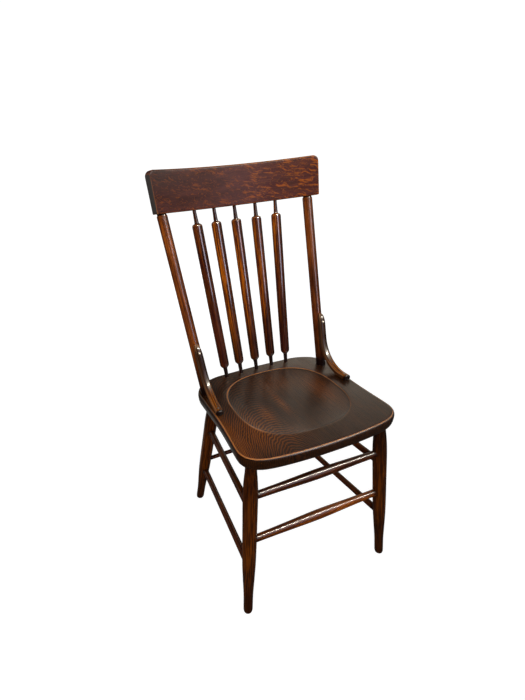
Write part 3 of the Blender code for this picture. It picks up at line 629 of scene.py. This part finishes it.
def buildCrest():
    # the section carried along the bend; near each end its top drops round a quarter circle,
    # and it draws in all round by another to a softened end
    c = crestValues
    near = np.concatenate([[0, 0.25, 0.8, 1.6, 2.6], np.linspace(3.4, c["corner"], 9)])
    middle = np.linspace(c["half"] - c["corner"], c["corner"] - c["half"], 150)[1:-1]
    places = np.concatenate([c["half"] - near, middle, (near - c["half"])[::-1]])
    gap = np.minimum(c["half"] - np.abs(places), c["corner"])
    drop = c["corner"] - np.sqrt(c["corner"] ** 2 - (c["corner"] - gap) ** 2)
    soft = c["endRound"]
    pull = soft - np.sqrt(soft ** 2 - (soft - np.minimum(gap, soft)) ** 2)
    sections = np.stack([crestSection(c["high"] - d) for d in drop])
    through, up = sections[..., 0], sections[..., 1]
    half = c["thick"] / 2
    through = through * (1 - pull[:, None] / half)
    up = np.clip(up, pull[:, None], (c["high"] - drop - pull * 0.5)[:, None])
    widen = c["flare"] * (np.abs(places)[:, None] / c["half"]) ** 4
    x = places[:, None] * (1 + widen * (up / c["high"] - 0.5))
    grid = crestPoint(x, through, up)
    topRub = bump(up, c["high"] - 1.2, 1.9) * bump(through, -7.5, 4.5) + 0.7 * bump(up, c["high"], 1.5)
    endRub = bump(gap[:, None], 1.0, 1.2) * (0.45 + 0.2 * (places > 0)[:, None])
    bottomRub = 0.35 * bump(up, 0.6, 1.2) * (through < 0)
    rubAndHighlight = 0.75 * topRub * (0.55 + 0.6 * ramp(x, -120, 160)) + endRub + bottomRub
    amber = 0.10 + 0.80 * ramp(x, -60, 120) + 0.15 * bump(x, -120, 60)
    # the end faces take the pale grey all over, and the upper left part takes it as a painted grey sheen
    sootShadeAndSheen = 0.95 * (gap[:, None] < 0.4) + 0.42 * ramp(-x, 60, 215) * ramp(up, 20, 90)
    local = np.stack([up, through, x], axis=-1)
    fields = {"grain": seeded(local, 0.37), "rubAndHighlight": rubAndHighlight, "amber": amber, "sootShadeAndSheen": sootShadeAndSheen}
    ends = [crestPoint(side * c["half"], 0.0, c["endMiddle"]) for side in (1, -1)]
    return makePiece("crestBoard", grid, ends, fields, crestOak, ["crest_rail"])


buildCrest()
print("crest rail made")


# the stiles: the two round outer posts of the back
stileValues = {
    "baseShift": 0.4, "topX": 191.3, "topBack": 5.0, "topUp": 0.4, "topShift": {-1: 0.4, 1: 1.0},
    "diameter": 24.9,
}


def stileEnds(side):
    # where a stile's middle line meets the seat and the crest rail
    s = stileValues
    baseX, baseY = seatValues["stileBase"]
    base = np.array([side * baseX + s["baseShift"], baseY, seatValues["top"]])
    return base, crestPoint(side * s["topX"], s["topBack"], s["topUp"], s["topShift"][side])


def buildStile(side, seed):
    # a circle carried straight from the seat to the crest rail, nearly even, with a small shoulder on top
    base, top = stileEnds(side)
    long, size = np.linalg.norm(top - base), stileValues["diameter"]
    knots = [(-6, size - 0.8), (3, size), (long * 0.35, size - 0.3), (long * 0.7, size - 0.2),
             (long - 6.2, size), (long - 4.6, size - 0.3), (long - 3.8, size - 2.2),
             (long - 3.0, size - 3.4), (long + 6, size - 4.0)]
    grid, local, place, angle, ends = turnedGrid(base, top, knots, 56, 14, seed=seed)
    s = place[:, None] + 0 * angle
    amber = 0.45 - 0.28 * (side > 0) + 0.5 * bump(s, long - 70, 60) + 0.35 * np.sin(s / 41.0 + seed) ** 2
    # painted shadow line just under the crest rail, and painted shade over the lower part beside the brace;
    # the foot is darker where it meets the seat
    sootShadeAndSheen = 0.95 * ramp(s, long - 6.5, long - 3.5) + 0.75 * bump(s, 0, 14) + 0.60 * ramp(-s, -125, -40)
    rubAndHighlight = 0.3 * bump(s, long - 5.2, 1.2)
    fields = {"grain": seeded(local, seed), "rubAndHighlight": rubAndHighlight, "amber": amber, "sootShadeAndSheen": sootShadeAndSheen}
    word = "left" if side < 0 else "right"
    return makePiece(word + "Stile", grid, ends, fields, stileOak, ["stile_" + word])


for stileSide in (-1, 1):
    buildStile(stileSide, 21.7 + stileSide)
print("stiles made")


# the five spindles, necked at both ends
spindleValues = {
    "feet": ((-88.5, 339.8), (-45.6, 342.8), (0.0, 343.1), (45.6, 342.8), (88.5, 339.8)),
    "tops": (-108.7, -55.4, 0.0, 55.4, 108.7),
    "topShift": 1.3, "flatten": 0.90, "size": 1.02,
    # the height and the strength of each one's warmest wood, and the way its lit side faces, in degrees
    "amber": ((395, 0.25), (290, 1.5), (290, 1.1), (280, 0.8), (390, 1.2)), "litSide": 222,
    # distance up and diameter, for a spindle of the drawn length
    "drawn": 424.0,
    "profile": ((-5, 9.4), (0, 9.5), (12, 9.8), (23.0, 10.6), (25.0, 12.6), (28.5, 18.8), (31.0, 21.8),
                (33.5, 23.1), (38, 23.6), (200, 24.2), (330, 24.7), (384, 24.8), (387.4, 24.3),
                (389.6, 22.6), (391.2, 19.4), (392.4, 14.6), (393.4, 11.0), (396, 10.5), (408, 9.4),
                (422, 8.6), (430, 8.4)),
}


def buildSpindle(number, seed):
    # a slightly flattened circle carried straight up, its diameter read from the profile
    v = spindleValues
    (x, y), topX = v["feet"][number], v["tops"][number]
    foot = np.array([x, y, seatValues["top"]])
    top = crestPoint(topX, 0.0, 0.0, v["topShift"])
    spread = np.linalg.norm(top - foot) / v["drawn"]
    knots = [(at * spread, size * v["size"]) for at, size in v["profile"]]
    grid, local, place, angle, ends = turnedGrid(foot, top, knots, 56, 9, flatten=v["flatten"], seed=seed)
    s = place[:, None] / spread + 0 * angle
    along, peak = v["amber"][number]
    # painted light: the warm colour is kept to the lit side, towards the light on the left, and the far side
    # stays darker
    turned = (angle - math.radians(v["litSide"]) + np.pi) % (2 * np.pi) - np.pi
    litSide = 0.12 + 0.88 * bump(turned, 0, 0.60)
    amber = 0.05 + peak * bump(s, along, 100) * litSide
    if number in (1, 2, 3):
        amber = amber + 0.50 * bump(s, 120 + 20 * number, 60) * litSide
    neck = ramp(-s, -31, -22) + ramp(s, 390.5, 394)
    sootShadeAndSheen = 0.60 * neck + 0.30 * ramp(-s, -150, -50)
    # painted highlight: the upward face of the top shoulder is painted in the worn colour, where light falls
    # on it
    rubAndHighlight = 0.40 * bump(s, 388.8, 2.0)
    fields = {"grain": seeded(local, seed), "rubAndHighlight": rubAndHighlight, "amber": amber, "sootShadeAndSheen": sootShadeAndSheen}
    name, node = f"spindle{number + 1}Turned", f"spindle_{number + 1}"
    return makePiece(name, grid, ends, fields, spindleOak, [node])


for spindleNumber in range(5):
    buildSpindle(spindleNumber, 31.3 + 1.7 * spindleNumber)
print("spindles made")


# the bent braces from the seat up the stiles, and their screws
braceValues = {
    "wide": 18.4, "thick": 14.0, "bend": {-1: 89.0, 1: 101.0}, "endY": 179.0, "endX": 175.2, "rise": 64.0,
    "shift": 0.8, "seatGap": 0.3, "stileGap": 0.45, "bowFrom": 290.0, "slimOver": 34.0, "thinOver": 22.0,
    "upperScrew": 41.0, "lowerScrew": 14.0,  # up from the bend, and back from the front end
}


def bracePath(side):
    # (y, z) of the middle line: straight along the seat, round the bend, and straight up the stile;
    # with it come the top of the bend and the direction up the stile
    b = braceValues
    base, top = stileEnds(side)
    bend = b["bend"][side]
    lean = math.atan2(top[1] - base[1], top[2] - base[2])
    low = seatValues["top"] + b["seatGap"] + b["thick"] / 2
    off = stileValues["diameter"] / 2 + b["stileGap"] + b["thick"] / 2
    start = np.array([base[1] - off * math.cos(lean), base[2] + off * math.sin(lean)])
    knee = start + np.array([math.tan(lean), 1.0]) * (low - start[1])
    middle = np.array([knee[0] - bend * math.tan((math.pi / 2 - lean) / 2), low + bend])
    flat = np.linspace(b["endY"], middle[0], 12)[:-1]
    turn = np.linspace(0, math.pi / 2 - lean, 46)
    arc = np.stack([middle[0] + bend * np.sin(turn), middle[1] - bend * np.cos(turn)], axis=1)
    up = np.array([math.sin(lean), math.cos(lean)])
    rise = b["rise"] * (1 - np.linspace(1, 0, 42) ** 1.5)
    onSeat = np.stack([flat, np.full(len(flat), low)], axis=1)
    return np.concatenate([onSeat, arc, arc[-1] + rise[1:, None] * up]), arc[-1], up


def braceX(y, z):
    # out with the stile as it rises, and out a little more towards the front end
    b = braceValues
    base, top = stileEnds(1)
    baseX = seatValues["stileBase"][0]
    above = baseX + (top[0] - base[0]) / (top[2] - base[2]) * (z - seatValues["top"])
    share = np.clip((b["bowFrom"] - y) / (b["bowFrom"] - b["endY"]), 0, 1)
    return above + (b["endX"] - baseX) * share ** 1.5


def buildBrace(side, seed):
    # a squared circle, flatter on the side to the seat and stile, carried along the path;
    # its width and thickness draw in to a pointed arch at the top, and its front end is softened
    b = braceValues
    path = bracePath(side)[0]
    steps = np.gradient(path, axis=0)
    steps /= np.hypot(*steps.T)[:, None]
    length = np.append(0, np.cumsum(np.hypot(*np.diff(path, axis=0).T)))
    left = length[-1] - length
    slim, thin = np.clip(left / b["slimOver"], 0, 1), np.clip(left / b["thinOver"], 0, 1)
    wide = b["wide"] * (0.20 + 0.80 * np.sqrt(1 - (1 - slim) ** 2))
    thick = b["thick"] * (0.12 + 0.88 * np.sqrt(1 - (1 - thin) ** 2))
    start = np.clip(length / 3.0, 0, 1)
    softened = 0.80 + 0.20 * np.sqrt(1 - (1 - start) ** 2)
    angle = np.arange(56) * 2 * np.pi / 56
    cosine, sine = np.cos(angle), np.sin(angle)
    across = np.sign(cosine) * np.abs(cosine) ** (2 / 2.9)
    through = np.sign(sine) * np.abs(sine) ** (2 / np.where(sine > 0, 2.2, 4.5))
    x = braceX(path[:, 0], path[:, 1])[:, None] + across * (wide * softened)[:, None] / 2
    out = through * (thick * softened)[:, None] / 2 - ((b["thick"] - thick) / 2)[:, None]
    grid = np.zeros((len(path), len(angle), 3))
    grid[..., 0] = side * x + b["shift"]
    grid[..., 1] = path[:, :1] - steps[:, 1:] * out
    grid[..., 2] = path[:, 1:] + steps[:, :1] * out
    s = length[:, None] + 0 * angle
    local = np.stack([across * wide[:, None] / 2, out, s], axis=-1)
    face = np.clip(through, 0, 1)[None, :] + 0 * s
    rubAndHighlight = 0.55 * bump(left[:, None], 0, 9) * face + 0.35 * bump(np.abs(across), 0.85, 0.2) * (s > 8)
    amber = 0.10 + (1.2 - 0.4 * (side > 0)) * face * bump(s, 42, 42) + 0.5 * face * bump(s, 4, 16)
    sootShadeAndSheen = 0.98 * ramp(-s, -5, -2.5) + 0.35 * (1 - face) * bump(s, 30, 60)
    sootShadeAndSheen = sootShadeAndSheen + 0.40 * ramp(s, 85, 120) * ramp(left[:, None], 12, 24)
    fields = {"grain": seeded(local, seed), "rubAndHighlight": rubAndHighlight, "amber": amber, "sootShadeAndSheen": sootShadeAndSheen}
    word = "left" if side < 0 else "right"
    ends = [grid[0].mean(axis=0), grid[-1].mean(axis=0)]
    return makePiece(word + "Brace", grid, ends, fields, braceOak, ["brace_" + word])


screwValues = {
    # distance along it and diameter: the domed head, the shank and the point
    "profile": ((-0.9, 0.6), (-0.8, 3.0), (-0.5, 5.2), (0.1, 7.0), (0.6, 7.6), (1.2, 7.4), (3.0, 3.8),
                (24.0, 3.6), (26.0, 1.2)),
}


def buildScrew(name, node, at, into):
    # a low domed head on a plain shank, turned about the screw's own line
    at, into = np.array(at, float), unit(into)
    grid, local, place, angle, ends = turnedGrid(at, at + into, screwValues["profile"], 32, 5)
    return makePiece(name, grid, ends, {"grain": local * 0.001}, dulledSteel, [node])


def buildScrews(side):
    # the upper one goes square through the brace into the stile, the lower one straight down into the seat
    b = braceValues
    word = "left" if side < 0 else "right"
    knee, up = bracePath(side)[1:]
    outward = np.array([-up[1], up[0]])
    y, z = knee + up * b["upperScrew"] + outward * (b["thick"] / 2 - 0.5)
    x = side * float(braceX(y, z)) + b["shift"]
    buildScrew(word + "UpperScrew", "brace_screw_upper_" + word, (x, y, z), (0, up[1], -up[0]))
    y, z = b["endY"] + b["lowerScrew"], seatValues["top"] + b["seatGap"] + b["thick"]
    x = side * float(braceX(y, z)) + b["shift"]
    buildScrew(word + "LowerScrew", "brace_screw_lower_" + word, (x, y, z - 0.4), (0, 0, -1.0))


for braceSide in (-1, 1):
    buildBrace(braceSide, 51.0 + braceSide)
    buildScrews(braceSide)
print("braces made")


# the floor, the lights and the camera
stageValues = {
    "floorSize": 60.0, "floorTone": 0.30, "floorToneMirrored": 0.02, "floorMirrored": 0.04,
    "seenNear": 0.95, "seenFar": 1.05, "worldFill": 0.13, "worldMirrored": 0.02,
    "lights": (
        # name, place, aim, width, height, power, colour, what it shows in
        ("frontWindow", (1.15, -2.75, 1.75), (0, 0.15, 0.70), 0.95, 1.3, 37.0, (0.82, 0.78, 1.0), "varnish"),
        ("stripLamp", (1.1, -1.15, 2.35), (1.1, -0.2, 0.4), 1.9, 0.20, 470.0, (1.0, 0.95, 0.82), "varnish"),
        ("backWindow", (1.90, 2.20, 1.72), (0, 0, 0.5), 1.7, 0.9, 13.0, (1.0, 0.88, 0.72), "varnish"),
        ("sideWindow", (-1.50, 2.20, 1.15), (-0.1, 0, 0.46), 1.4, 0.9, 6.0, (0.95, 1.0, 0.92), "varnish"),
        ("floorSheen", (-0.05, 0.70, 0.004), (-0.05, 0.71, 1.0), 0.7, 0.8, 0.5, (1.0, 1.0, 0.94), "varnish"),
        ("softKey", (-1.5, -2.5, 2.1), (0, 0, 0.5), 1.3, 1.3, 35.0, (1.0, 0.96, 0.92), "wood"),
        ("backFill", (0.5, 2.6, 0.9), (0, 0, 0.5), 1.3, 1.2, 9.0, (1.0, 0.96, 0.92), "wood"),
    ),
}


def buildFloor():
    # one plain sheet, white as the camera sees it and dark in the varnish, so the wood keeps its depth
    v = stageValues
    size = v["floorSize"] / 2
    corners = [(-size, -size, 0), (size, -size, 0), (size, size, 0), (-size, size, 0)]
    mesh = bpy.data.meshes.new("paleFloor")
    mesh.from_pydata(corners, [], [(0, 1, 2, 3)])
    made = bpy.data.objects.new("paleFloor", mesh)
    bpy.context.scene.collection.objects.link(made)
    material = bpy.data.materials.new("whitePaper")
    material.use_nodes = True
    tree = material.node_tree
    shader = tree.nodes["Principled BSDF"]
    rays = addNode(tree, "ShaderNodeLightPath")
    away = addNode(tree, "ShaderNodeVectorMath", {"operation": "LENGTH"},
                   i0=addNode(tree, "ShaderNodeTexCoord").outputs["Object"]).outputs["Value"]
    glow = rangeOf(tree, away, 0.4, 2.0, v["seenNear"], v["seenFar"])
    plain = doMath(tree, "MULTIPLY_ADD", rays.outputs["Is Glossy Ray"],
                   v["floorToneMirrored"] - v["floorTone"], v["floorTone"])
    grey = addNode(tree, "ShaderNodeCombineColor", Red=plain, Green=plain, Blue=plain)
    tree.links.new(grey.outputs[0], shader.inputs["Base Color"])
    shader.inputs["Roughness"].default_value = 0.9
    shader.inputs["Specular IOR Level"].default_value = 0.0
    shader.inputs["Emission Color"].default_value = (1, 1, 1, 1)
    sheen = doMath(tree, "MULTIPLY", rays.outputs["Is Glossy Ray"], v["floorMirrored"])
    strength = doMath(tree, "MULTIPLY_ADD", rays.outputs["Is Camera Ray"], glow, sheen)
    tree.links.new(strength, shader.inputs["Emission Strength"])
    mesh.materials.append(material)


def buildWorld():
    # white to the camera, a soft fill for the wood, and nearly dark in the varnish
    world = bpy.data.worlds.new("studio")
    bpy.context.scene.world = world
    world.use_nodes = True
    tree = world.node_tree
    back = tree.nodes["Background"]
    back.inputs["Color"].default_value = (1, 1, 1, 1)
    rays = addNode(tree, "ShaderNodeLightPath")
    fill, mirrored = stageValues["worldFill"], stageValues["worldMirrored"]
    glow = doMath(tree, "MULTIPLY_ADD", rays.outputs["Is Camera Ray"], stageValues["seenFar"] - fill, fill)
    glow = doMath(tree, "MULTIPLY_ADD", rays.outputs["Is Glossy Ray"], mirrored - fill, glow)
    tree.links.new(glow, back.inputs["Strength"])


def aimed(place, aim):
    # columns: right, up and back of something that looks from place towards aim
    ahead = unit(np.array(aim, float) - place)
    right = unit(np.cross(ahead, (0, 0, 1)))
    return right, np.cross(right, ahead), -ahead


def setMatrix(made, columns, place):
    rows = np.eye(4)
    rows[:3, 0], rows[:3, 1], rows[:3, 2], rows[:3, 3] = *columns, place
    made.matrix_world = Matrix(rows.tolist())


def buildLights():
    for name, place, aim, width, height, power, colour, shows in stageValues["lights"]:
        lamp = bpy.data.lights.new(name, "AREA")
        lamp.shape, lamp.size, lamp.size_y = "RECTANGLE", width, height
        lamp.energy, lamp.color = power, colour
        made = bpy.data.objects.new(name, lamp)
        bpy.context.scene.collection.objects.link(made)
        made.visible_camera = False
        made.visible_glossy, made.visible_diffuse = shows == "varnish", shows == "wood"
        setMatrix(made, aimed(place, aim), place)


cameraValues = {
    "place": (-0.494611, -0.893922, 1.083020), "turn": 0.394715, "down": 0.530344, "roll": -0.043553,
    "lens": 24.3020, "shift": (0.045742, 0.041829),
}


def buildCamera():
    # turned from straight ahead, tipped down, and rolled a little
    c = cameraValues
    level = math.cos(c["down"])
    ahead = np.array([math.sin(c["turn"]) * level, math.cos(c["turn"]) * level, -math.sin(c["down"])])
    right = np.array([math.cos(c["turn"]), -math.sin(c["turn"]), 0.0])
    up = np.cross(right, ahead)
    cosine, sine = math.cos(c["roll"]), math.sin(c["roll"])
    camera = bpy.data.cameras.new("studioCamera")
    camera.sensor_width, camera.lens = 36.0, c["lens"]
    camera.shift_x, camera.shift_y = c["shift"]
    camera.clip_start, camera.clip_end = 0.05, 100.0
    made = bpy.data.objects.new("studioCamera", camera)
    bpy.context.scene.collection.objects.link(made)
    setMatrix(made, (cosine * right + sine * up, cosine * up - sine * right, -ahead), c["place"])
    bpy.context.scene.camera = made


buildFloor()
buildWorld()
buildLights()
buildCamera()
bpy.context.scene.view_settings.view_transform = "Standard"
print("studio made")
